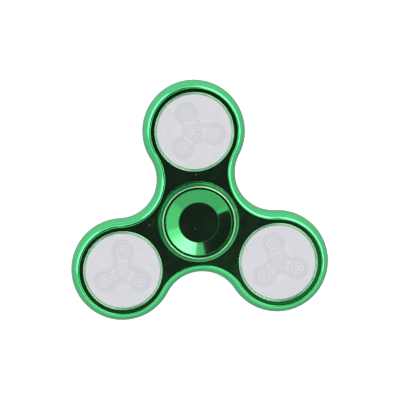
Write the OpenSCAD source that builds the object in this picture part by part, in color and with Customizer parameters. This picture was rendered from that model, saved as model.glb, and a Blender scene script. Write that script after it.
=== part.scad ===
// Three-lobed fidget spinner with a push-button light pod in each lobe.
// The spin axis is Z, the origin is the middle of the bearing, and the lenses face +Z.
// The first pod lies on +Y, and its own +X side points away from the spin axis.

/* [Frame] */
// Distance from the spin axis to the middle of each pod
arm_r = 26.2; // [25.5:0.1:34]
// Width of the rounded rim, seen from the front
rim_w = 2.1; // [1.6:0.1:3]
// Height of the rim above the flat face
rim_h = 1.0; // [0.5:0.1:1.8]
// Width of the flat band between a pod's lip and the rim
land_w = 1.05; // [0.7:0.05:2]
// Width of the half-round lip round each pod
lip_w = 0.85; // [0.5:0.05:1.2]
// Width of the half-round bead round the bearing
bead_w = 0.6; // [0.4:0.05:0.8]
// Gap between the bearing's edge and that bead
bead_set = 0.7; // [0.6:0.05:0.8]
// Least thickness of the flange that the bearing stops against
flange_t = 0.4; // [0.3:0.1:1]
// Width of that flange
flange_w = 0.6; // [0.4:0.1:1.2]

/* [Bearing] */
// Outer diameter
bearing_od = 22; // [21:0.1:22.2]
// Bore
bearing_bore = 8; // [6.5:0.1:9.6]
// Width
bearing_w = 7; // [6.4:0.1:9]
// Diameter of the balls
ball_d = 3.969; // [3.2:0.001:4.2]
// Gap between the shoulders of the two rings
race_gap = 2.9; // [2.6:0.05:3.1]
// Thickness of the shields
shield_t = 0.3; // [0.2:0.05:0.4]
// Thickness of the cage's sheet
cage_t = 0.35; // [0.25:0.05:0.4]
// Width of the cage
cage_w = 1.5; // [1.2:0.1:1.8]

/* [Finger caps] */
// Diameter
cap_d = 22.8; // [20:0.1:23]
// Thickness from the underside to the resting land
cap_t = 2.4; // [2.1:0.1:4]
// Gap between a cap and the bead below it
cap_gap = 0.3; // [0.2:0.05:1]
// Height of the cap's straight side
side_h = 1.5; // [1:0.1:1.7]
// Width of the shoulder outside the crown
shoulder_w = 0.7; // [0.5:0.05:1]
// Width of the crown at its foot
crown_w = 0.75; // [0.6:0.05:1]
// Width of the flat land on top of the crown
crown_land_w = 0.35; // [0.2:0.05:0.5]
// Width of the groove inside the crown
groove_w = 0.5; // [0.3:0.05:0.8]
// Depth of the groove below the land
groove_d = 0.4; // [0.2:0.05:0.6]
// Diameter of the dish's flat floor
floor_d = 11.7; // [9:0.1:13.5]
// Thickness of the dish's floor
floor_t = 0.85; // [0.7:0.05:1.2]
// Diameter of the boss that bears on the inner ring
boss_d = 10.4; // [9.8:0.1:11]
// Diameter of the front cap's locking pin
pin_d = 3.8; // [2.5:0.1:4.5]
// Length of the locking pin past the middle of the bearing
pin_l = 2.8; // [1.5:0.1:3]

/* [Light pods] */
// Diameter of the pod's housing
pod_d = 22.4; // [22:0.1:27]
// How far the lens and the battery cover stand above the flat faces
pod_proud = 0.3; // [0:0.05:0.4]
// Width of the step that the housing stops against
pod_step = 0.2; // [0.15:0.05:0.5]
// Wall of the housing
pod_wall = 0.8; // [0.6:0.05:1.1]
// Thickness of the lens cap
lens_t = 1.2; // [0.9:0.1:1.6]
// Wall of the lens cap's skirt
skirt_t = 0.75; // [0.6:0.05:1]
// Travel of the lens cap when it is pressed
lens_travel = 0.5; // [0.3:0.05:0.7]
// Width of each hook on the skirt
hook_w = 3; // [2:0.1:4]
// Depth of the rib that holds the hooks
catch_w = 0.45; // [0.35:0.05:0.6]
// Height of that rib
catch_h = 0.5; // [0.3:0.05:0.6]
// Thickness of the circuit board
board_t = 0.8; // [0.6:0.1:1.2]
// Height of the light-emitting diodes
led_h = 0.7; // [0.5:0.05:1.2]
// Length of each diode
led_l = 3.2; // [2:0.1:3.6]
// Width of each diode
led_w = 1.6; // [1.2:0.1:2.4]
// Distance of the diodes from the pod's middle
led_r = 6.2; // [5.6:0.1:6.6]
// Room above the diodes when the lens is pressed
led_room = 0.3; // [0.2:0.05:1]
// Side of the square push switch
switch_w = 3; // [2.6:0.1:3.4]
// Diameter of the switch's plunger
plunger_d = 1.7; // [1.2:0.1:1.9]
// Side of the square control chip
chip_w = 2.8; // [2:0.1:3]
// Height of the control chip
chip_h = 0.6; // [0.4:0.05:0.7]
// Diameter of a button cell
cell_d = 7.9; // [6.4:0.1:8.3]
// Thickness of a button cell
cell_t = 3.6; // [2.1:0.1:4.6]
// Wall between two cell nests
nest_wall = 0.3; // [0.2:0.05:0.5]
// Thickness of the sprung contacts
contact_t = 0.2; // [0.15:0.05:0.3]
// Thickness of the battery cover
cover_t = 0.9; // [0.8:0.1:1.4]
// Diameter of the cover screw's thread
screw_d = 1.4; // [1:0.1:1.6]
// Diameter of the cover screw's head
screw_head_d = 2.6; // [2.2:0.1:2.7]
// Length of the cover screw
screw_l = 3.4; // [2.6:0.1:3.6]

/* [Hidden] */
$fn = 72;

// Clearances
push_fit = 0.02; // bearing in the frame, cap stubs in the bearing
ball_play = 0.02; // ball to raceway
pocket_play = 0.08; // ball to cage
pod_gap = 0.05; // pod to frame, hooks to their stops
slide_gap = 0.1; // lens cap and plunger in their guides
cell_gap = 0.1; // cell in its nest, cover in its recess
cut = 1; // how far a cutter runs past a face

// Heights through a pod, worked out from its back
pod_stack = cover_t + 2 * contact_t + cell_t + board_t + led_h + led_room + lens_travel + lens_t;
frame_t = max(bearing_w + 2 * flange_t, pod_stack - 2 * pod_proud);
face_z = frame_t / 2;
pod_z = face_z + pod_proud;
deck_z = -pod_z + cover_t; // back of the housing's inside, front of the cover
cell_z = deck_z + contact_t;
nest_z = cell_z + cell_t;
board_z = nest_z + contact_t;
board_top = board_z + board_t;
lens_z = pod_z - lens_t; // underside of the lens
housing_z = lens_z - lens_travel - (led_room - slide_gap); // front edge of the housing
catch_z = housing_z - catch_h;
switch_h = lens_travel + 0.15;

// Radii of a pod, from its middle
pod_r = pod_d / 2;
pod_in_r = pod_r - pod_wall;
pocket_r = pod_r + pod_gap;
window_r = pod_r - pod_step;
lens_r = window_r - slide_gap;
skirt_r = pod_in_r - catch_w - slide_gap;
hook_r = pod_in_r - slide_gap;
ledge_r = skirt_r - skirt_t + slide_gap;
board_r = pod_in_r - cell_gap;
cover_r = pod_in_r - cell_gap;
nest_r = cell_d / 2 + cell_gap;
cell_ring_r = (2 * nest_r + nest_wall) / sqrt(3); // three nests in a triangle
screw_r = pod_in_r - screw_head_d / 2 - 0.7;
contact_r = cell_d / 4;
hook_z = board_z + lens_travel + pod_gap; // lower end of the hooks
skirt_z = board_top + lens_travel + pod_gap; // lower end of the skirt between them
hook_turn = 60 - asin(hook_w / 2 / skirt_r); // half the angle between two hooks

// Frame outline: the pods and the necks between them stand on one hexagon,
// so each lobe's arc runs into the next neck's arc in line
lobe_r = window_r + lip_w + land_w + rim_w;
neck_r = arm_r - lobe_r;
rim_z = face_z + rim_h;
rim_bulge_r = (pow(rim_w, 2) + pow(rim_z, 2)) / (2 * rim_w);
rim_root = 0.5; // how far the plate runs into the rim
plate_step = 12; // angle between the points of the plate's buried edge
seam = 0.04; // how far a neck's rim lies inside the lobes' rim where they meet
seam_turn = 3; // angle that a neck's rim runs on into the lobes

// Bearing
bearing_r = bearing_od / 2;
bore_r = bearing_bore / 2;
bearing_z = bearing_w / 2;
pitch_r = (bearing_r + bore_r) / 2;
ball_r = ball_d / 2;
race_r = ball_r * 1.04; // groove a little wider than the ball
inner_land_r = pitch_r - race_gap / 2;
outer_land_r = pitch_r + race_gap / 2;
shield_z = bearing_z - shield_t - 0.25; // inner side of a shield
shield_seat_r = outer_land_r + 0.65;
shell_r = ball_r + pocket_play + cage_t;
ball_count = 7;
rivet_r = 0.3;
rivet_head_r = 0.5;
rivet_head_h = 0.2;

// Finger caps
cap_r = cap_d / 2;
cap_z = face_z + bead_w / 2 + cap_gap; // underside of the front cap
crown_out = cap_r - shoulder_w;
crown_in = crown_out - crown_w;
crown_slope = (crown_w - crown_land_w) / 2;
dish_r = crown_in - groove_w;
edge_c = 0.3; // chamfer of the lower edge
stub_z = 0.1; // half the gap between the two stubs
stub_r = bore_r - push_fit;
pin_r = pin_d / 2;

// ---- places ----

module at_pod(i) {
    rotate([0, 0, 90 + 120 * (i - 1)])
        translate([arm_r, 0, 0])
            children();
}

module at_balls(first = 1, last = ball_count, shift = 0) {
    for (i = [first:last])
        rotate([0, 0, 360 / ball_count * (i - 1 + shift)])
            translate([pitch_r, 0, 0])
                children();
}

module at_thirds(start, r) {
    for (a = [0:120:240])
        rotate([0, 0, start + a])
            translate([r, 0, 0])
                children();
}

module disc(r, z0, z1) {
    translate([0, 0, z0])
        cylinder(r = r, h = z1 - z0);
}

module ring(r_out, r_in, z0, z1) {
    difference() {
        disc(r_out, z0, z1);
        disc(r_in, z0 - cut, z1 + cut);
    }
}

// ---- frame ----

// The rim's section: x runs from its inner wall to its outermost line
module rim_section(inset = 0) {
    intersection() {
        translate([rim_w - rim_bulge_r, 0])
            circle(r = rim_bulge_r - inset, $fn = 144);
        translate([inset, -rim_z - cut])
            square([rim_w + cut, 2 * (rim_z + cut)]);
    }
}

module lobe_rim() {
    rotate([0, 0, -120])
        rotate_extrude(angle = 240)
            translate([lobe_r - rim_w, 0])
                rim_section();
}

module neck_rim() {
    rotate([0, 0, 120 - seam_turn])
        rotate_extrude(angle = 120 + 2 * seam_turn)
            translate([neck_r + rim_w, 0])
                mirror([1, 0])
                    rim_section(seam);
}

// Points on an arc about the centre of a pod (at 90, 210 or 330 degrees) or of a neck between two pods
function arc_points(at, r, from, turn) =
    [for (k = [0:plate_step:abs(turn) - plate_step])
        let (a = at + from + sign(turn) * k)
            arm_r * [cos(at), sin(at)] + r * [cos(a), sin(a)]];

// Flat plate inside the rim; its edge is buried in the rim
module plate() {
    translate([0, 0, -face_z])
        linear_extrude(frame_t)
            polygon([for (i = [0:2]) each concat(
                arc_points(90 + 120 * i, lobe_r - rim_w + rim_root, -120, 240),
                arc_points(150 + 120 * i, neck_r + rim_w - rim_root, 240, -120))]);
}

// Plate and rim, before anything is bored
module frame_blank() {
    plate();
    for (i = [1:3]) {
        at_pod(i)
            lobe_rim();
        rotate([0, 0, 60])
            at_pod(i)
                neck_rim();
    }
}

// Half-round ring on a flat face, with its inner edge just clear of radius r
module round_bead(r, width, z) {
    rotate_extrude()
        translate([r + seam + width / 2, z])
            circle(d = width, $fn = 36);
}

module frame_beads() {
    for (i = [1:3])
        at_pod(i) {
            round_bead(window_r, lip_w, face_z);
            round_bead(pocket_r, lip_w, -face_z);
        }
    for (z = [-face_z, face_z])
        round_bead(bearing_r + bead_set, bead_w, z);
}

module frame_bores() {
    for (i = [1:3])
        at_pod(i) {
            disc(window_r, -face_z, pod_z + cut);
            disc(pocket_r, -pod_z - cut, housing_z + pod_gap);
        }
    disc(bearing_r - flange_w, -pod_z, pod_z + cut);
    disc(bearing_r + push_fit, -pod_z - cut, bearing_z);
}

module body_frame() {
    color("mediumseagreen")
    difference() {
        union() {
            frame_blank();
            frame_beads();
        }
        frame_bores();
    }
}

// ---- bearing ----

module bearing_outer_ring() {
    color("silver")
    rotate_extrude()
        difference() {
            translate([outer_land_r, -bearing_z])
                square([bearing_r - outer_land_r, bearing_w]);
            translate([pitch_r + ball_r + ball_play - race_r, 0])
                circle(r = race_r);
            for (side = [-1, 1])
                translate([outer_land_r - cut, side > 0 ? shield_z : -bearing_z - cut])
                    square([shield_seat_r - outer_land_r + cut, bearing_z - shield_z + cut]);
        }
}

module bearing_inner_ring() {
    color("silver")
    rotate_extrude()
        difference() {
            translate([bore_r, -bearing_z])
                square([inner_land_r - bore_r, bearing_w]);
            translate([pitch_r - ball_r - ball_play + race_r, 0])
                circle(r = race_r);
        }
}

module ball() {
    color("gainsboro")
    sphere(r = ball_r);
}

// One half of the pressed cage: a flat ring with a round pocket over each ball
module cage_half() {
    color("darkgray")
    difference() {
        intersection() {
            union() {
                disc(pitch_r + cage_w, 0, cage_t);
                at_balls()
                    sphere(r = shell_r);
            }
            ring(pitch_r + cage_w / 2, pitch_r - cage_w / 2, 0, shell_r + cut);
        }
        at_balls()
            sphere(r = ball_r + pocket_play);
        at_balls(shift = 0.5)
            disc(rivet_r, -cut, cage_t + cut);
    }
}

module cage_rivets() {
    color("gainsboro")
    at_balls(shift = 0.5) {
        disc(rivet_r, -cage_t - rivet_head_h, cage_t + rivet_head_h);
        disc(rivet_head_r, cage_t, cage_t + rivet_head_h);
        disc(rivet_head_r, -cage_t - rivet_head_h, -cage_t);
    }
}

module shield() {
    color("lightgray")
    ring(shield_seat_r - push_fit, inner_land_r + 0.2, shield_z, shield_z + shield_t);
}

// ---- finger caps ----

module cap_section() {
    polygon([
        [0, 0],
        [cap_r - edge_c, 0],
        [cap_r, edge_c],
        [cap_r, side_h],
        [crown_out, side_h + edge_c],
        [crown_out - crown_slope, cap_t],
        [crown_in + crown_slope, cap_t],
        [crown_in, cap_t - groove_d],
        [dish_r, cap_t - groove_d],
        [floor_d / 2, floor_t],
        [0, floor_t]
    ]);
}

module cap_body() {
    translate([0, 0, cap_z])
        rotate_extrude()
            cap_section();
    disc(boss_d / 2, bearing_z, cap_z + floor_t / 2);
    disc(stub_r, stub_z, cap_z + floor_t / 2);
}

module front_finger_cap() {
    color("seagreen") {
        cap_body();
        disc(pin_r - push_fit, -pin_l, stub_z + cut);
    }
}

module back_finger_cap() {
    color("seagreen")
    difference() {
        rotate([180, 0, 0])
            cap_body();
        disc(pin_r, -pin_l - slide_gap, cut);
    }
}

// ---- light pods ----

// Disc with a skirt that ends in an outward barb; x is the radius
module lens_section() {
    barb_z = catch_z - pod_gap;
    polygon([
        [0, pod_z],
        [0, lens_z],
        [skirt_r - skirt_t, lens_z],
        [skirt_r - skirt_t, hook_z],
        [hook_r, hook_z],
        [hook_r, barb_z],
        [skirt_r, barb_z],
        [skirt_r, lens_z],
        [lens_r, lens_z],
        [lens_r, pod_z]
    ]);
}

// Three gaps leave the skirt's lower part as three hooks
module lens_cap() {
    color("ghostwhite")
    difference() {
        rotate_extrude()
            lens_section();
        at_thirds(0, 0)
            translate([0, 0, hook_z - cut])
                linear_extrude(skirt_z - hook_z + cut)
                    polygon(2 * pod_r * [[0, 0], [cos(hook_turn), -sin(hook_turn)], [1, 0],
                        [cos(hook_turn), sin(hook_turn)]]);
    }
}

module nests(r, z0, z1) {
    at_thirds(0, cell_ring_r)
        disc(r, z0, z1);
}

module pod_housing() {
    color("white")
    difference() {
        disc(pod_r, -pod_z, housing_z);
        disc(cover_r + cell_gap, -pod_z - cut, deck_z);
        disc(ledge_r, deck_z - cut, cell_z);
        nests(nest_r, cell_z - cut, nest_z + cut);
        disc(ledge_r, nest_z, board_z + cut);
        disc(pod_in_r, board_z, catch_z);
        disc(pod_in_r - catch_w, board_z, housing_z + cut);
        translate([-screw_r, 0, 0])
            disc(screw_d / 2, deck_z - cut, screw_l - pod_z + slide_gap);
    }
}

// The board has a notch for each hook of the lens cap
module circuit_board() {
    notch_w = hook_w + 4 * slide_gap;
    color("darkgreen")
    difference() {
        disc(board_r, board_z, board_top);
        at_thirds(60, skirt_r - skirt_t - 2 * slide_gap)
            translate([0, -notch_w / 2, board_z - cut])
                cube([pod_r, notch_w, board_t + 2 * cut]);
    }
}

module led_set() {
    color("lightyellow")
    at_thirds(60, led_r)
        translate([0, 0, board_top]) {
            translate([-led_w / 2, -led_l / 2, 0])
                cube([led_w, led_l, led_h / 2]);
            translate([-led_w / 2, -led_l / 3, 0])
                cube([led_w, led_l * 2 / 3, led_h]);
        }
}

module control_chip() {
    color("dimgray")
    translate([led_r - chip_w / 2, -chip_w / 2, board_top])
        cube([chip_w, chip_w, chip_h]);
}

module switch_body() {
    color("silver")
    difference() {
        translate([-switch_w / 2, -switch_w / 2, board_top])
            cube([switch_w, switch_w, switch_h]);
        disc(plunger_d / 2 + slide_gap, board_top - cut, board_top + switch_h + cut);
    }
}

module switch_plunger() {
    color("black")
    disc(plunger_d / 2, skirt_z, lens_z);
}

// A strip that joins two neighbouring cells, and a pad on the third
module contacts(turn, z) {
    color("goldenrod")
    rotate([0, 0, turn]) {
        for (a = [120, 240])
            rotate([0, 0, a])
                translate([cell_ring_r, 0, 0])
                    disc(contact_r, z, z + contact_t);
        translate([-cell_ring_r / 2 - contact_r / 2, -cell_ring_r * sin(60), z])
            cube([contact_r, 2 * cell_ring_r * sin(60), contact_t]);
        translate([cell_ring_r, 0, 0])
            disc(contact_r, z, z + contact_t);
    }
}

module button_cells() {
    crimp = 0.25;
    color("lightsteelblue")
    nests(cell_d / 2, cell_z, nest_z - crimp);
    color("lightsteelblue")
    nests(cell_d / 2 - 2 * crimp, nest_z - crimp - cut, nest_z);
}

module screw_place() {
    translate([-screw_r, 0, -pod_z])
        children();
}

module battery_cover() {
    head_h = (screw_head_d - screw_d) / 2;
    color("whitesmoke")
    difference() {
        disc(cover_r, -pod_z, deck_z);
        screw_place() {
            disc(screw_d / 2 + cell_gap / 2, -cut, cover_t + cut);
            translate([0, 0, -pod_gap])
                cylinder(r1 = screw_head_d / 2 + pod_gap, r2 = screw_d / 2, h = head_h + pod_gap);
        }
        translate([cover_r, 0, 0])
            disc(1.2, -pod_z - cut, deck_z - cover_t / 2);
    }
}

module cover_screw() {
    head_h = (screw_head_d - screw_d) / 2;
    slot_w = 0.35;
    difference() {
        union() {
            disc(screw_d / 2, head_h / 2, screw_l);
            cylinder(r1 = screw_head_d / 2, r2 = screw_d / 2, h = head_h);
        }
        for (a = [0, 90])
            rotate([0, 0, a])
                translate([-screw_head_d / 3, -slot_w / 2, -cut])
                    cube([screw_head_d * 2 / 3, slot_w, cut + head_h * 0.6]);
    }
}

module cover_screws() {
    color("silver")
    for (i = [1:3])
        at_pod(i)
            screw_place()
                cover_screw();
}

// ---- nodes ----

body_frame();
bearing_outer_ring();
bearing_inner_ring();
cage_half();  // cage_front_half
mirror([0, 0, 1]) cage_half();  // cage_back_half
cage_rivets();
shield();  // front_shield
mirror([0, 0, 1]) shield();  // back_shield
for (i = [1:ball_count])
    at_balls(i, i) ball();
front_finger_cap();
back_finger_cap();
for (i = [1:3]) {
    at_pod(i) lens_cap();
    at_pod(i) pod_housing();
    at_pod(i) circuit_board();
    at_pod(i) led_set();
    at_pod(i) control_chip();
    at_pod(i) switch_body();
    at_pod(i) switch_plunger();
    at_pod(i) contacts(0, nest_z);
    at_pod(i) button_cells();
    at_pod(i) contacts(120, deck_z);
    at_pod(i) battery_cover();
}
cover_screws();
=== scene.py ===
import math
import bmesh
import bpy
import numpy as np
from mathutils import Matrix, Vector


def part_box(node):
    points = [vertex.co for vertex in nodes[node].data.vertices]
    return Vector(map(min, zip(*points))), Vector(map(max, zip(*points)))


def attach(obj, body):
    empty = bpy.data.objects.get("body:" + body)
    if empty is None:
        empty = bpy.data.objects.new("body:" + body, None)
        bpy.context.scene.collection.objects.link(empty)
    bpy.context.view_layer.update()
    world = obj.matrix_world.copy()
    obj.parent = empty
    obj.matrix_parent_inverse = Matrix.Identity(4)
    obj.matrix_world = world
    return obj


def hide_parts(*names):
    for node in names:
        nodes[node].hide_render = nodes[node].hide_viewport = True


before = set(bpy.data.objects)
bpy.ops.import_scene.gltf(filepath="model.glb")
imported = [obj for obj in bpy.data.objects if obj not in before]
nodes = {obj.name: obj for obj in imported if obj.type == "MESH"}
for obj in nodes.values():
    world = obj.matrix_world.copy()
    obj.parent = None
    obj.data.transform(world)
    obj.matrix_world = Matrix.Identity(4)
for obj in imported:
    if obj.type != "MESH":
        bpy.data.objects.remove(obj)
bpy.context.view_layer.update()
mm = 0.001


def boxRadius(node):
    low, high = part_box(node)
    return (high.x - low.x) / 2


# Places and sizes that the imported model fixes
podMiddles = [(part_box(f"pod_housing_{i}")[0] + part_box(f"pod_housing_{i}")[1]) / 2 for i in (1, 2, 3)]
armRadius = math.hypot(podMiddles[0].x, podMiddles[0].y)
podAngles = [math.atan2(p.y, p.x) for p in podMiddles]
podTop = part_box("lens_cap_1")[1].z
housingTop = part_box("pod_housing_1")[1].z
housingRadius = boxRadius("pod_housing_1")
lensRadius = boxRadius("lens_cap_1")
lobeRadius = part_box("body_frame")[1].y - armRadius
neckRadius = armRadius - lobeRadius
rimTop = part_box("body_frame")[1].z
bearingRadius = boxRadius("bearing_outer_ring")
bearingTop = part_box("bearing_outer_ring")[1].z
boreRadius = 4 * mm  # of the hole in the bearing's inner ring
capRadius = boxRadius("front_finger_cap")
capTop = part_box("front_finger_cap")[1].z


# Fillets a chain of (x, z, radius) corners: each corner is cut back by radius / tan(half its angle)
# on both sides, and an arc about the point at radius / sin(half its angle) bridges the cut.
# Each straight leg gets a point just inside both its ends, which keeps it flat under smooth shading.
def roundedPath(chain, steps=6, hold=0.05 * mm):
    points = np.array([c[:2] for c in chain], float)
    runs = [points[:1]]
    for before, here, after, corner in zip(points, points[1:], points[2:], chain[1:]):
        radius = corner[2]
        if radius == 0:
            runs.append(here[None])
            continue
        u = (before - here) / np.linalg.norm(before - here)
        v = (after - here) / np.linalg.norm(after - here)
        half = math.acos(np.clip(u @ v, -1, 1)) / 2
        middle = here + (u + v) / np.linalg.norm(u + v) * radius / math.sin(half)
        first = here + u * radius / math.tan(half) - middle
        last = here + v * radius / math.tan(half) - middle
        turn = math.atan2(first[0] * last[1] - first[1] * last[0], first @ last)
        a = math.atan2(first[1], first[0]) + turn * np.linspace(0, 1, steps + 1)
        runs.append(middle + radius * np.stack([np.cos(a), np.sin(a)], 1))
    runs.append(points[-1:])
    path = runs[:1]
    for run in runs[1:]:
        leg = run[0] - path[-1][-1]
        share = min(0.3, hold / np.linalg.norm(leg))
        path += [path[-1][-1] + np.outer([share, 1 - share], leg), run]
    return np.concatenate(path)


# Half-oval bead on a flat face, as (radius, height) points from its outer foot to its inner foot:
# radius = inner + half the width x (1 + cos a), height = foot + rise x sin a, for a from 0 to 180 degrees
def beadPath(innerRadius, width, foot, rise, steps=12):
    a = np.linspace(0, math.pi, steps + 1)
    return np.stack([innerRadius + width / 2 * (1 + np.cos(a)), foot + rise * np.sin(a)], 1)


# Quads of a grid, where point (row, column) has the number row x columns + column;
# wrapped joins the last row to the first
def gridFaces(rows, columns, wrapped):
    last = rows if wrapped else rows - 1
    row, column = np.meshgrid(np.arange(last), np.arange(columns - 1), indexing="ij")
    here = row * columns + column
    there = (row + 1) % rows * columns + column
    return np.stack([here, there, there + 1, here + 1], -1).reshape(-1, 4)


# Point (radius, height) of the profile at angle a stands at middle + (radius cos a, radius sin a, height)
def revolved(profile, middle=(0, 0), steps=144, start=0, turn=2 * math.pi):
    whole = turn >= 2 * math.pi - 1e-6
    a = start + turn * np.arange(steps if whole else steps + 1) / steps
    radius, height = profile[:, 0], profile[:, 1]
    verts = np.stack([
        middle[0] + np.cos(a)[:, None] * radius,
        middle[1] + np.sin(a)[:, None] * radius,
        np.ones(len(a))[:, None] * height], -1)
    faces = gridFaces(len(a), len(profile), whole).tolist()
    if not whole:
        count = len(profile)
        faces += [list(range(count))[::-1], list(range((len(a) - 1) * count, len(a) * count))]
    return verts.reshape(-1, 3), faces


# Joins the parts, merges their doubles, fills the open loops that lie on a level, turns faces outwards.
# stands lists the CAD nodes that the piece stands for; edges steeper than sharp degrees stay crisp.
def makePiece(name, parts, material, body, stands, levels=(), sharp=35):
    verts, faces, offset = [], [], 0
    for partVerts, partFaces in parts:
        verts.append(partVerts)
        faces += [[i + offset for i in face] for face in partFaces]
        offset += len(partVerts)
    mesh = bpy.data.meshes.new(name)
    mesh.from_pydata(np.concatenate(verts).tolist(), [], faces)
    bm = bmesh.new()
    bm.from_mesh(mesh)
    bmesh.ops.remove_doubles(bm, verts=bm.verts, dist=2e-7)
    for level in levels:
        edges = [e for e in bm.edges if e.is_boundary and all(abs(v.co.z - level) < 1e-7 for v in e.verts)]
        bmesh.ops.triangle_fill(bm, use_beauty=True, edges=edges, normal=(0, 0, math.copysign(1, level)))
    bmesh.ops.recalc_face_normals(bm, faces=bm.faces)
    bm.to_mesh(mesh)
    bm.free()
    mesh.shade_smooth()
    mesh.set_sharp_from_angle(angle=math.radians(sharp))
    mesh.materials.append(material)
    piece = bpy.data.objects.new(name, mesh)
    bpy.context.scene.collection.objects.link(piece)
    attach(piece, body)
    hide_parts(*stands)
    return piece


# A shader socket that takes part in sums and products, so that a pattern is written as an expression
class Wire:
    def __init__(self, tree, socket):
        self.tree, self.socket = tree, socket

    # Adds a node: its settings are set first, then its sockets take the values or links, by their names
    # or as i0, i1 and so on by their numbers. out is the number of the output that comes back.
    def node(self, kind, settings=None, out=0, **inputs):
        made = self.tree.nodes.new(kind)
        for key, value in (settings or {}).items():
            setattr(made, key, value)
        for key, value in inputs.items():
            byNumber = key[0] == "i" and key[1:].isdigit()
            plug(self.tree, made.inputs[int(key[1:]) if byNumber else key], value)
        return Wire(self.tree, made.outputs[out])

    def math(self, operation, *values):
        numbered = {f"i{k}": value for k, value in enumerate(values)}
        return self.node("ShaderNodeMath", {"operation": operation}, **numbered)

    def __add__(self, other):
        return self.math("ADD", self, other)

    def __radd__(self, other):
        return self.math("ADD", other, self)

    def __sub__(self, other):
        return self.math("SUBTRACT", self, other)

    def __rsub__(self, other):
        return self.math("SUBTRACT", other, self)

    def __mul__(self, other):
        return self.math("MULTIPLY", self, other)

    def __rmul__(self, other):
        return self.math("MULTIPLY", other, self)

    def __truediv__(self, other):
        return self.math("DIVIDE", self, other)

    def cos(self):
        return self.math("COSINE", self)

    def sin(self):
        return self.math("SINE", self)

    def root(self):
        return self.math("SQRT", self)

    def size(self):
        return self.math("ABSOLUTE", self)

    def atLeast(self, other):
        return self.math("MAXIMUM", self, other)

    def atMost(self, other):
        return self.math("MINIMUM", self, other)

    def above(self, limit):
        return self.math("GREATER_THAN", self, limit)

    # 0 below low, 1 above high and a smooth rise between them
    def rise(self, low, high):
        smooth = {"interpolation_type": "SMOOTHSTEP"}
        return self.node("ShaderNodeMapRange", smooth, i0=self, i1=low, i2=high)

    # This mask picks between two colours
    def blend(self, off, on):
        return self.node("ShaderNodeMix", {"data_type": "RGBA"}, out=2, i0=self, i6=off, i7=on)


# Gives a socket a link, a colour or a plain value
def plug(tree, socket, value):
    if isinstance(value, Wire):
        tree.links.new(value.socket, socket)
    elif isinstance(value, (tuple, list)) and len(value) == 3 and socket.type == "RGBA":
        socket.default_value = (*value, 1)
    else:
        socket.default_value = value


# Soft random spots, so many millimetres across
def spots(at, across, detail=2, roughness=0.5):
    return at.node("ShaderNodeTexNoise", {"noise_dimensions": "3D"}, Vector=at, Scale=1 / (across * mm),
                   Detail=detail, Roughness=roughness)


# A Principled surface: fixed sockets by name, and a function that gives the sockets that vary.
# Height is a pair, the pattern and its depth in millimetres, and goes through a Bump node.
def surface(name, fixed, varying):
    material = bpy.data.materials.new(name)
    material.use_nodes = True
    tree = material.node_tree
    shader = tree.nodes["Principled BSDF"]
    for key, value in fixed.items():
        plug(tree, shader.inputs[key], value)
    coordinates = tree.nodes.new("ShaderNodeTexCoord")
    for key, value in varying(Wire(tree, coordinates.outputs["Object"])).items():
        if key == "Height":
            height, distance = value
            value = height.node("ShaderNodeBump", Strength=1.0, Distance=distance * mm, Height=height)
            key = "Normal"
        plug(tree, shader.inputs[key], value)
    return material


# The x, y and z of a vector
def split(at):
    return [at.node("ShaderNodeSeparateXYZ", out=k, Vector=at) for k in range(3)]


# Lengths in the finishes are in millimetres
plating = {
    "colour": (0.062, 0.84, 0.225),
    "wearAndHighlight": (0.78, 1.0, 0.82),  # pale: where fingers have rubbed the green lacquer thin, and a painted highlight line along the crests of the lips and the crown
    "roughness": 0.06,
    "wornRoughness": 0.28,
    "smudge": 0.05,
    "smudgeSize": 5.0,
    "peel": 0.004,  # depth and size of the orange peel
    "peelSize": 2.4,
    "dust": (0.75, 0.85, 0.75),
    "dustCover": 0.55,
    "dustApart": 3.4,
    "dustRoughness": 0.35,
    "scratch": 0.12,
    "scratchTurn": 0.7,  # radians
    "lacquer": {"Coat Weight": 1.0, "Coat Roughness": 0.24, "Coat IOR": 1.6},
    "rimColour": (0.35, 0.95, 0.6),  # towards grazing angles
}


def makePlating():
    def varying(at):
        wearAndHighlight = at.node("ShaderNodeAttribute", {"attribute_name": "wearAndHighlight"}, out=2)
        patchy = spots(at, plating["smudgeSize"], 3).rise(0.35, 0.75)
        # this mask carries wear and a painted highlight: the pale colour it brings paints a bright line on
        # the crests
        edge = (wearAndHighlight * (0.8 + 0.35 * spots(at, 1.2))).atMost(1)
        # dust: the middles of about half the cells of a coarse pattern, and short hairline scratches
        scale = 1 / (plating["dustApart"] * mm)
        toMiddle = at.node("ShaderNodeTexVoronoi", Vector=at, Scale=scale)
        cell = at.node("ShaderNodeTexVoronoi", out=1, Vector=at, Scale=scale)
        dust = (1 - toMiddle.rise(0.03, 0.06)) * split(cell)[0].above(0.45)
        stretched = at.node("ShaderNodeMapping", Vector=at, Rotation=(0, 0, plating["scratchTurn"]),
                            Scale=(1, 14, 1))
        hairs = spots(stretched, 3.0, 2).rise(0.70, 0.74)
        dull = (plating["smudge"] * patchy + plating["wornRoughness"] * edge
                + plating["scratch"] * hairs + plating["dustRoughness"] * dust)
        # painted highlight and wear: the crests take the pale colour
        clean = edge.blend(plating["colour"], plating["wearAndHighlight"])
        return {
            "Base Color": (plating["dustCover"] * dust).blend(clean, plating["dust"]),
            "Roughness": plating["roughness"] + dull,
            "Height": (spots(at, plating["peelSize"], 1), plating["peel"]),
        }
    fixed = {"Metallic": 1.0, "Specular Tint": plating["rimColour"], **plating["lacquer"]}
    return surface("green mirror plating", fixed, varying)


lensFinish = {
    "colour": (0.70, 0.815, 0.78),
    "shade": (0.67, 0.78, 0.755),
    "line": (0.60, 0.705, 0.685),
    "roughness": 0.42,
    "unevenness": 0.08,
    "grain": 0.12,  # share of the relief's height
}

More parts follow.
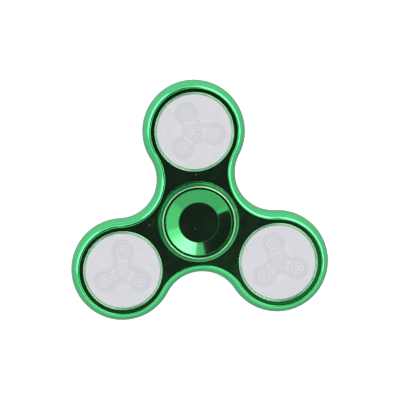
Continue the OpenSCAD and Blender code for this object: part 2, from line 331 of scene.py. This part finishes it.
relief = {
    "arm": 5.75,  # middle of the relief to the middle of a lobe
    "lobe": 3.15,  # radius of a lobe
    "inset": 0.6,  # from the outline to the second line
    "rings": (2.1, 1.15),  # radii, in the middle and in each lobe
    "dot": 0.35,
    "line": 0.17,  # half the width of a line
    "height": 0.03,
    "turns": (111.3, 87.3, 101.3),  # which way the relief points in each pod, in degrees
}


# A line of the relief: 1 where gap is within the line's width of zero, falling softly to 0
def drawn(gap):
    return 1 - gap.size().rise(relief["line"] * 0.5, relief["line"] * 1.5)


# White moulded plastic with a raised three-lobed figure. Its outline is six arcs: a lobe's about the point
# (arm, 0) and a neck's about (arm / 2, arm x sqrt(3) / 2), on coordinates folded into one sixth of a turn.
def makeLens(number):
    turn = math.radians(relief["turns"][number - 1])
    middle = podMiddles[number - 1]
    third = 2 * math.pi / 3
    arm, lobe = relief["arm"], relief["lobe"]
    neckX, neckY = arm / 2, arm * math.sqrt(3) / 2

    def varying(at):
        x, y, _ = split(at)
        x, y = (x - middle.x) / mm, (y - middle.y) / mm
        radius = (x * x + y * y).root()
        turns = (x.math("ARCTAN2", y, x) - turn) / third
        folded = ((turns.math("FRACT", turns + 0.5) - 0.5) * third).size()
        u, v = radius * folded.cos(), radius * folded.sin()
        toLobe = ((u - arm) * (u - arm) + v * v).root()
        toNeck = ((u - neckX) * (u - neckX) + (v - neckY) * (v - neckY)).root()
        # the lobe's arc runs 120 degrees to each side, the neck's 60
        onLobe = ((u - arm) + 0.5 * toLobe).above(0)
        onNeck = (-1 * ((u - neckX) * 0.5 + (v - neckY) * (math.sqrt(3) / 2)) - 0.5 * toNeck).above(0)
        figureLines = drawn(toLobe - lobe) * onLobe
        figureLines = figureLines.atLeast(drawn(toNeck - (arm - lobe)) * onNeck)
        figureLines = figureLines.atLeast(drawn(toLobe - (lobe - relief["inset"])) * onLobe)
        figureLines = figureLines.atLeast(drawn(toNeck - (arm - lobe + relief["inset"])) * onNeck)
        for ringRadius in relief["rings"]:
            figureLines = figureLines.atLeast(drawn(toLobe - ringRadius)).atLeast(drawn(radius - ringRadius))
        figureLines = figureLines.atLeast(1 - toLobe.atMost(radius).rise(relief["dot"] * 0.6, relief["dot"]))
        ground = spots(at, 3.2, 3).rise(0.3, 0.7).blend(lensFinish["shade"], lensFinish["colour"])
        return {
            # the figure's lines are coloured darker than the ground, as well as raised
            "Base Color": figureLines.blend(ground, lensFinish["line"]),
            "Roughness": lensFinish["roughness"] + lensFinish["unevenness"] * spots(at, 0.8),
            "Height": (figureLines + lensFinish["grain"] * spots(at, 0.35, 2), relief["height"]),
        }
    return surface(f"lens white {number}", {}, varying)


# Each plain finish: colour, second colour, metallic, roughness, depth of its grain and how the grain runs
finishes = {
    "bearing_steel": ((0.60, 0.60, 0.61), (0.50, 0.50, 0.52), 1, 0.22, 0.002, "turned"),
    "ball_steel": ((0.80, 0.80, 0.81), (0.76, 0.76, 0.78), 1, 0.08, 0.0005, "fine"),
    "cage_steel": ((0.55, 0.54, 0.52), (0.46, 0.45, 0.43), 1, 0.34, 0.003, "pressed"),
    "shield_steel": ((0.62, 0.62, 0.63), (0.55, 0.55, 0.57), 1, 0.26, 0.002, "turned"),
    "housing_white": ((0.82, 0.82, 0.81), (0.77, 0.77, 0.77), 0, 0.40, 0.006, "moulded"),
    "board_green": ((0.02, 0.17, 0.07), (0.03, 0.24, 0.10), 0, 0.35, 0.02, "traces"),
    "led_clear": ((0.86, 0.82, 0.52), (0.90, 0.88, 0.72), 0, 0.18, 0.002, "fine"),
    "chip_black": ((0.02, 0.02, 0.02), (0.035, 0.035, 0.035), 0, 0.55, 0.006, "moulded"),
    "switch_steel": ((0.68, 0.68, 0.68), (0.60, 0.60, 0.61), 1, 0.30, 0.002, "fine"),
    "plunger_black": ((0.03, 0.03, 0.03), (0.05, 0.05, 0.05), 0, 0.45, 0.005, "moulded"),
    "contact_brass": ((0.78, 0.58, 0.26), (0.66, 0.46, 0.20), 1, 0.28, 0.003, "pressed"),
    "cell_steel": ((0.70, 0.70, 0.71), (0.62, 0.62, 0.64), 1, 0.20, 0.002, "fine"),
    "screw_steel": ((0.64, 0.64, 0.65), (0.52, 0.52, 0.54), 1, 0.26, 0.002, "turned"),
}


def makeFinish(slotName):
    colour, second, metallic, roughness, depth, grain = finishes[slotName]

    def varying(at):
        x, y, _ = split(at)
        broad = spots(at, 4.0, 3).rise(0.3, 0.7)
        if grain == "turned":  # rings left by the lathe, about the spin axis
            radius = (x * x + y * y).root()
            height = radius.node("ShaderNodeTexNoise", {"noise_dimensions": "1D"}, W=radius,
                                 Scale=1 / (0.12 * mm), Detail=2)
        elif grain == "traces":  # copper runs under the solder mask
            cells = at.node("ShaderNodeTexVoronoi", {"feature": "DISTANCE_TO_EDGE"}, Vector=at,
                            Scale=1 / (1.6 * mm))
            height = 1 - cells.rise(0.06, 0.12)
            broad = height
        elif grain == "pressed":
            height = spots(at, 0.5, 3)
        elif grain == "moulded":
            height = spots(at, 0.18, 3, 0.6)
        else:
            height = spots(at, 0.3, 1)
        return {
            "Base Color": broad.blend(second, colour),
            "Roughness": roughness + 0.12 * spots(at, 1.5, 3) - 0.06,
            "Height": (height, depth),
        }
    return surface(slotName.replace("_", " "), {"Metallic": float(metallic)}, varying)


green = makePlating()
print("finishes made")


shell = {
    "rimWidth": 2.35 * mm,
    "rimHeight": 1.0 * mm,  # above the flat face
    # the rim's section, as arcs from the inner wall to the outermost line: radius, and tilt at its end
    "rimArcs": ((0.22, 20), (1.9, 45), (2.4, 68), (9.6, 90)),
    "arcSteps": (8, 6, 6, 8),
    "lipWidth": 0.52 * mm,
    "lipRise": 0.22 * mm,
    "lipRidge": 0.24 * mm,  # each lip is two fine ridges with a groove between them
    # how pale the lips' crests are: wear and a painted highlight
    "lipWearAndHighlight": 0.62,
    "windowGap": 0.1 * mm,
    "pocketGap": 0.05 * mm,
    "beadInner": 11.3 * mm,
    "beadWidth": 0.45 * mm,
    "beadHeight": 0.03 * mm,
    "flangeRadius": 10.4 * mm,
    "outlineSteps": 96,  # along each lobe; a neck has a third of them
}
faceZ = rimTop - shell["rimHeight"]


# Half of the rim's section: dx = radius cos(tilt), dz = -radius sin(tilt) along each arc,
# scaled to the rim's width and height. Returns (distance inside the outline, height), from the front
# flat face round to the back one.
def rimSection():
    steps, tilt0 = [np.zeros((1, 2))], -90
    here = np.zeros(2)
    for (radius, tilt1), count in zip(shell["rimArcs"], shell["arcSteps"]):
        t = np.radians(np.linspace(tilt0, tilt1, count + 1)[1:])
        t0 = math.radians(tilt0)
        leg = here + radius * np.stack([np.sin(t) - math.sin(t0), np.cos(t) - math.cos(t0)], 1)
        steps.append(leg)
        here, tilt0 = leg[-1], tilt1
    path = np.concatenate(steps)
    crest = path[:, 1].max()
    width = path[-1, 0]
    drop = crest - path[-1, 1]
    inside = (1 - path[:, 0] / width) * shell["rimWidth"]
    height = rimTop - (crest - path[:, 1]) / drop * rimTop
    half = np.stack([inside, height], 1)
    half = np.concatenate([[[shell["rimWidth"], faceZ]], half])
    back = half[-2::-1] * (1, -1)
    return np.concatenate([half, back])


# The outline is six arcs about the corners of one hexagon: three lobes of 240 degrees turning outwards
# and three necks of 120 degrees turning inwards. Returns its points and its outward directions.
def frameOutline():
    points, outwards = [], []
    for at in podAngles:
        pod = armRadius * np.array([math.cos(at), math.sin(at)])
        a = at + np.radians(-120 + 240 * np.arange(shell["outlineSteps"]) / shell["outlineSteps"])
        out = np.stack([np.cos(a), np.sin(a)], 1)
        points.append(pod + lobeRadius * out)
        outwards.append(out)
        neckAt = at + math.radians(60)
        neck = armRadius * np.array([math.cos(neckAt), math.sin(neckAt)])
        count = shell["outlineSteps"] // 3
        a = neckAt + np.radians(240 - 120 * np.arange(count) / count)
        out = -np.stack([np.cos(a), np.sin(a)], 1)
        points.append(neck - neckRadius * out)
        outwards.append(out)
    return np.concatenate(points), np.concatenate(outwards)


# Each section point (inside, height) stands at outline - outward * inside
def rimGrid():
    points, outwards = frameOutline()
    section = rimSection()
    flat = points[:, None] - outwards[:, None] * section[None, :, :1]
    height = np.broadcast_to(section[None, :, 1:], flat.shape[:2] + (1,))
    verts = np.concatenate([flat, height], -1)
    return verts.reshape(-1, 3), gridFaces(len(points), len(section), True).tolist()


# Two half-oval ridges side by side, from the outer foot to the inner foot
def lipPath(innerRadius):
    ridge, rise = shell["lipRidge"], shell["lipRise"]
    outer = beadPath(innerRadius + shell["lipWidth"] - ridge, ridge, faceZ, rise, 8)
    return np.concatenate([outer, beadPath(innerRadius, ridge, faceZ, rise, 8)])


def makeFrameShell():
    windowRadius = lensRadius + shell["windowGap"]
    pocketRadius = housingRadius + shell["pocketGap"]
    stepZ = housingTop + shell["pocketGap"]
    bore = np.concatenate([
        lipPath(windowRadius), [(windowRadius, stepZ), (pocketRadius, stepZ)],
        lipPath(pocketRadius)[::-1] * (1, -1)])
    seat = bearingRadius + 0.02 * mm
    inner, bead, rise = shell["beadInner"], shell["beadWidth"], shell["beadHeight"]
    middle = np.concatenate([
        beadPath(inner, bead, faceZ, rise),
        roundedPath([(inner, faceZ, 0), (shell["flangeRadius"], faceZ, 0.12 * mm),
                     (shell["flangeRadius"], bearingTop, 0), (seat, bearingTop, 0),
                     (seat, -faceZ, 0.12 * mm), (inner, -faceZ, 0)])[1:-1],
        beadPath(inner, bead, faceZ, rise)[::-1] * (1, -1)])
    parts = [rimGrid(), revolved(middle)]
    parts += [revolved(bore, (p.x, p.y)) for p in podMiddles]
    levels = (faceZ, -faceZ)
    return makePiece("plated_frame", parts, green, "rotor", ["body_frame"], levels)


# A mesh's corner points, as rows of x, y and z
def corners(mesh):
    co = np.zeros(len(mesh.vertices) * 3)
    mesh.vertices.foreach_get("co", co)
    return co.reshape(-1, 3)


# Stores how worn each corner is, from 0 to 1, for the plating to read; the same value paints a pale
# highlight line
def markWearAndHighlight(mesh, amount):
    mesh.attributes.new("wearAndHighlight", "FLOAT", "POINT").data.foreach_set("value", amount)


# Wear and painted highlight on the lips: it grows with the height above the flat face, from 0 at 0.45 of
# the ridges' rise to its full amount at 0.95
def markLipWearAndHighlight(piece):
    at = corners(piece.data)
    fromPod = np.min([np.hypot(at[:, 0] - p.x, at[:, 1] - p.y) for p in podMiddles], axis=0)
    onLip = fromPod < housingRadius + shell["lipWidth"] + 0.2 * mm
    lifted = np.clip((np.abs(at[:, 2]) - faceZ) / shell["lipRise"] * 2 - 0.9, 0, 1)
    markWearAndHighlight(piece.data, onLip * lifted * shell["lipWearAndHighlight"])


markLipWearAndHighlight(makeFrameShell())
print("frame made")


cap = {
    "thickness": 2.4 * mm,
    "sideHeight": 1.5 * mm,
    "shoulder": 0.82 * mm,
    "shoulderDrop": 0.128 * mm,
    "crown": 0.32 * mm,
    "groove": 0.72 * mm,
    "grooveDepth": 0.9 * mm,
    "dishDrop": 0.4 * mm,  # from the crown's top to the dish's edge
    "floorRadius": 5.85 * mm,
    "floor": 0.85 * mm,
    "bossRadius": 5.2 * mm,
    "pinRadius": 1.88 * mm,
    "pinLength": 2.8 * mm,
    "stubGap": 0.1 * mm,
    "fit": 0.02 * mm,  # of the stub in the bearing and of the pin in its socket
    "lean": 0.06 * mm,  # of the crown's outer flank
}


# Section of a cap from the middle of its dish, over the crown and under the flange to the stub's end
def capSection(hollow):
    low = capTop - cap["thickness"]
    crownOut = capRadius - cap["shoulder"]
    crownIn = crownOut - cap["crown"]
    dish = crownIn - cap["groove"]
    stub = boreRadius - cap["fit"]
    top = [
        (0, low + cap["floor"], 0),
        (cap["floorRadius"], low + cap["floor"], 1.2 * mm),
        (dish, capTop - cap["dishDrop"], 0.06 * mm),
        (dish + 0.04 * mm, capTop - cap["grooveDepth"], 0.04 * mm),
        (crownIn - 0.02 * mm, capTop - cap["grooveDepth"], 0.04 * mm),
        (crownIn + 0.03 * mm, capTop, 0.12 * mm),
        (crownOut - cap["lean"], capTop, 0.12 * mm),
        (crownOut, low + cap["sideHeight"] + cap["shoulderDrop"], 0.06 * mm),
        (capRadius, low + cap["sideHeight"], 0.1 * mm),
        (capRadius, low, 0.05 * mm),
        (cap["bossRadius"], low, 0.1 * mm),
        (cap["bossRadius"], bearingTop, 0.1 * mm),
        (stub, bearingTop, 0),
        (stub, cap["stubGap"], 0.15 * mm),
    ]
    if hollow:
        socket, deep = cap["pinRadius"] + cap["fit"], cap["pinLength"] + 0.1 * mm
        end = [(socket, cap["stubGap"], 0.1 * mm), (socket, deep, 0), (0, deep, 0)]
    else:
        end = [(cap["pinRadius"], cap["stubGap"], 0), (cap["pinRadius"], -cap["pinLength"], 0.2 * mm),
               (0, -cap["pinLength"], 0)]
    return roundedPath(top + end, 6)


# Wear and painted highlight on a crown, as the product of two measures held between 0 and 1: 1.6 -
# distance from the crown's middle line / 0.3 of its width, and height above a line 0.2 mm under its top /
# 0.1 mm
def markCrownWearAndHighlight(piece):
    at = corners(piece.data)
    radius = np.hypot(at[:, 0], at[:, 1])
    mid = capRadius - cap["shoulder"] - cap["crown"] / 2
    near = np.clip(1.6 - np.abs(radius - mid) / (cap["crown"] * 0.3), 0, 1)
    high = np.clip((np.abs(at[:, 2]) - (capTop - 0.2 * mm)) / (0.1 * mm), 0, 1)
    markWearAndHighlight(piece.data, near * high)


for name, side, hollow in (("front_finger_cap", 1, False), ("back_finger_cap", -1, True)):
    section = capSection(hollow) * (1, side)
    parts = [revolved(section, steps=192)]
    markCrownWearAndHighlight(makePiece(f"plated_{name}", parts, green, "hub", [name]))
print("finger caps made")


lens = {
    "thickness": 1.2 * mm,
    "edge": 0.15 * mm,
    "skirtRadius": 9.85 * mm,
    "skirtWall": 0.75 * mm,
    "skirtEnd": 2.05 * mm,
    "hookEnd": 1.25 * mm,
    "hookRadius": 10.3 * mm,
    "barbTop": 1.75 * mm,
    "hookWidth": 3.0 * mm,
}


# A lens cap's section turned about its pod, and three barbed hooks, each a short turn of their section
def lensParts(number):
    p = podMiddles[number - 1]
    under = podTop - lens["thickness"]
    inner = lens["skirtRadius"] - lens["skirtWall"]
    top = roundedPath([
        (0, podTop, 0), (lensRadius, podTop, lens["edge"]), (lensRadius, under, lens["edge"]),
        (lens["skirtRadius"], under, 0), (lens["skirtRadius"], lens["skirtEnd"], 0.1 * mm),
        (inner, lens["skirtEnd"], 0.1 * mm), (inner, under, 0), (0, under, 0)], 4)
    back, front = inner + 0.01 * mm, lens["skirtRadius"] - 0.01 * mm  # just inside the skirt's wall
    hook = roundedPath([
        (back, under, 0), (front, under, 0), (front, lens["barbTop"], 0),
        (lens["hookRadius"], lens["barbTop"], 0.08 * mm), (lens["hookRadius"], lens["hookEnd"], 0.12 * mm),
        (back, lens["hookEnd"], 0.1 * mm), (back, under, 0)], 3)
    half = math.asin(lens["hookWidth"] / 2 / lens["skirtRadius"])
    parts = [revolved(top, (p.x, p.y), 192)]
    for k in range(3):
        at = podAngles[number - 1] + math.radians(60 + 120 * k)
        parts.append(revolved(hook, (p.x, p.y), 12, at - half, 2 * half))
    return parts


for number in (1, 2, 3):
    makePiece(f"moulded_lens_cap_{number}", lensParts(number), makeLens(number), f"button_{number}",
              [f"lens_cap_{number}"])
print("lens caps made")


keepers = {
    "bearing_steel": ["bearing_outer_ring", "bearing_inner_ring"],
    "ball_steel": [f"ball_{k}" for k in range(1, 8)],
    "cage_steel": ["cage_front_half", "cage_back_half", "cage_rivets"],
    "shield_steel": ["front_shield", "back_shield"],
    "housing_white": [f"{n}_{k}" for n in ("pod_housing", "battery_cover") for k in (1, 2, 3)],
    "board_green": [f"circuit_board_{k}" for k in (1, 2, 3)],
    "led_clear": [f"led_set_{k}" for k in (1, 2, 3)],
    "chip_black": [f"control_chip_{k}" for k in (1, 2, 3)],
    "switch_steel": [f"switch_body_{k}" for k in (1, 2, 3)],
    "plunger_black": [f"switch_plunger_{k}" for k in (1, 2, 3)],
    "contact_brass": [f"{n}_contacts_{k}" for n in ("board", "cover") for k in (1, 2, 3)],
    "cell_steel": [f"button_cells_{k}" for k in (1, 2, 3)],
    "screw_steel": ["cover_screws"],
}
for slotName, names in keepers.items():
    finish = makeFinish(slotName)
    for name in names:
        mesh = nodes[name].data
        mesh.materials.clear()
        mesh.materials.append(finish)
print("CAD pieces finished")


# Every direction is given in degrees: azimuth round the object, zenith down from straight overhead
studio = {
    "turn": -2.7,  # turns all the lights about the spin axis
    "strength": 0.66,
    "below": 0.62,
    "horizon": 0.95,
    "sweep": 0.25,  # how much the horizon brightens towards one side
    "brightSide": 105,
    "upper": 0.9,
    "belowEdge": (90, 175),  # zenith angles over which the horizon gives way to the light from below
    "upperEdge": (78, 92),  # and the upper light to the horizon
    "highTint": (1.0, 1.0, 0.95),  # colour of the light from above and from underneath
    "lowTint": (1.12, 1.0, 1.24),  # of the light from the sides
    "lowEdges": (42, 66, 130, 165),  # zenith angles where it begins, is full, starts to fade and ends
    "hotTint": (1.8, 1.0, 1.12),  # of the brightest panels
    "hotLevels": (0.95, 3.2),  # from none to all of it
    "hotEdge": (44, 50),  # zenith angles over which it ends
    # azimuth from, to, zenith from, to, level, softness in degrees
    "panels": (
        (0, 359.9, 8, 26, 0.28, 3),
        (225, 325, 26, 47, 0.68, 3),
        (317, 327, 26, 47, 0.95, 5),
        (327, 335, 26, 47, 1.03, 5),
        (335, 364, 26, 47, 1.0, 8),
        (2, 100, 26, 47, 1.55, 8),
        (22, 78, 26, 47, 2.6, 16),
        (38, 74, 26, 47, 3.6, 12),
        (76, 97, 26, 47, 0.8, 4),
        (97, 216, 21, 47, 0.02, 4),
        (-20, 85, 47, 60, 4.5, 6),
        (125, 190, 47, 70, 4.0, 8),
        (190, 340, 47, 60, 2.0, 8),
        (85, 125, 47, 60, 2.0, 6),
    ),
    "overhead": (0.015, 8.5, 11),  # level, and the zenith angles where it ends
}


# The world's level is the horizon's, blended with each panel's in turn as far as a direction is inside it
def makeStudio():
    world = bpy.data.worlds.new("soft studio")
    bpy.context.scene.world = world
    world.use_nodes = True
    tree = world.node_tree
    background = tree.nodes["Background"]
    at = Wire(tree, tree.nodes.new("ShaderNodeTexCoord").outputs["Generated"])
    x, y, z = split(at)
    azimuth = x.math("ARCTAN2", y, x) - math.radians(studio["turn"])
    zenith = z.math("ARCCOSINE", z.atMost(1).atLeast(-1)) * (180 / math.pi)
    side = studio["horizon"] + studio["sweep"] * (azimuth - math.radians(studio["brightSide"])).cos()
    level = side * (1 - (1 - studio["below"] / studio["horizon"]) * zenith.rise(*studio["belowEdge"]))
    upper = 1 - zenith.rise(*studio["upperEdge"])
    level = level * (1 - upper) + studio["upper"] * upper
    for start, stop, near, far, amount, soft in studio["panels"]:
        half, fade = (stop - start) / 2, soft / 2
        turned = (azimuth - math.radians((start + stop) / 2)).cos()
        across = turned.rise(math.cos(math.radians(half + fade)), math.cos(math.radians(half - fade)))
        along = zenith.rise(near - fade, near + fade) * (1 - zenith.rise(far - fade, far + fade))
        mask = across * along
        level = level * (1 - mask) + amount * mask
    hot = level.rise(*studio["hotLevels"]) * (1 - zenith.rise(*studio["hotEdge"]))
    dark, first, last = studio["overhead"]
    lit = zenith.rise(first, last)
    level = (level * lit + dark * (1 - lit)) * studio["strength"]
    begin, full, ebb, end = studio["lowEdges"]
    low = zenith.rise(begin, full) * (1 - zenith.rise(ebb, end))
    tint = hot.blend(low.blend(studio["highTint"], studio["lowTint"]), studio["hotTint"])
    seen = at.node("ShaderNodeLightPath")  # the camera itself sees plain white behind the floor
    tint = seen.blend(tint, (1, 1, 1))
    level = level * (1 - seen) + seen
    tree.links.new(tint.socket, background.inputs["Color"])
    tree.links.new(level.socket, background.inputs["Strength"])


makeStudio()

floorFinish = {"colour": (0.9, 0.9, 0.9), "glow": 0.75, "side": 3.0}


def makeFloor():
    low = -capTop
    half = floorFinish["side"] / 2
    mesh = bpy.data.meshes.new("floor")
    mesh.from_pydata([(-half, -half, low), (half, -half, low), (half, half, low), (-half, half, low)], [],
                     [(0, 1, 2, 3)])
    floor = bpy.data.objects.new("floor", mesh)
    bpy.context.scene.collection.objects.link(floor)
    mesh.materials.append(surface("pale floor", {
        "Base Color": floorFinish["colour"], "Roughness": 0.9, "Emission Color": (1, 1, 1),
        "Emission Strength": floorFinish["glow"], "Specular IOR Level": 0.0}, lambda at: {}))
    floor.visible_glossy = False  # the plating mirrors the soft light behind the floor instead
    floor.visible_diffuse = False  # and the same light reaches the underside
    tree = mesh.materials[0].node_tree  # seen from underneath, the floor is clear
    at = Wire(tree, tree.nodes["Principled BSDF"].outputs[0])
    clear = at.node("ShaderNodeBsdfTransparent")
    under = at.node("ShaderNodeNewGeometry", out=6)  # 1 on the back of a face
    both = at.node("ShaderNodeMixShader", i0=under, i1=at, i2=clear)
    tree.links.new(both.socket, tree.nodes["Material Output"].inputs["Surface"])


makeFloor()

view = {
    "roll": 2.7,  # turn of the view about the spin axis
    "tilt": 6.5,
    "towards": 118,  # the side that the camera leans to, from the view's rightward axis
    "distance": 0.6,  # metres
    "focal": 185,  # millimetres
    "aim": (0.62 * mm, 5.97 * mm),  # rightwards and upwards in the view
}


def makeCamera():
    roll = math.radians(view["roll"])
    across = Vector((math.cos(-roll), math.sin(-roll), 0))
    up = Vector((math.sin(roll), math.cos(roll), 0))
    aim = across * view["aim"][0] + up * view["aim"][1]
    lean, towards = math.radians(view["tilt"]), math.radians(view["towards"])
    sideways = across * math.cos(towards) + up * math.sin(towards)
    out = sideways * math.sin(lean) + Vector((0, 0, math.cos(lean)))
    right = up.cross(out).normalized()
    top = out.cross(right).normalized()
    turn = Matrix((right, top, out)).transposed().to_4x4()
    data = bpy.data.cameras.new("camera")
    data.lens = view["focal"]
    data.sensor_width = 36
    camera = bpy.data.objects.new("camera", data)
    camera.matrix_world = Matrix.Translation(aim + out * view["distance"]) @ turn
    bpy.context.scene.collection.objects.link(camera)
    bpy.context.scene.camera = camera


makeCamera()
bpy.context.scene.view_settings.view_transform = "Standard"
print("studio made")
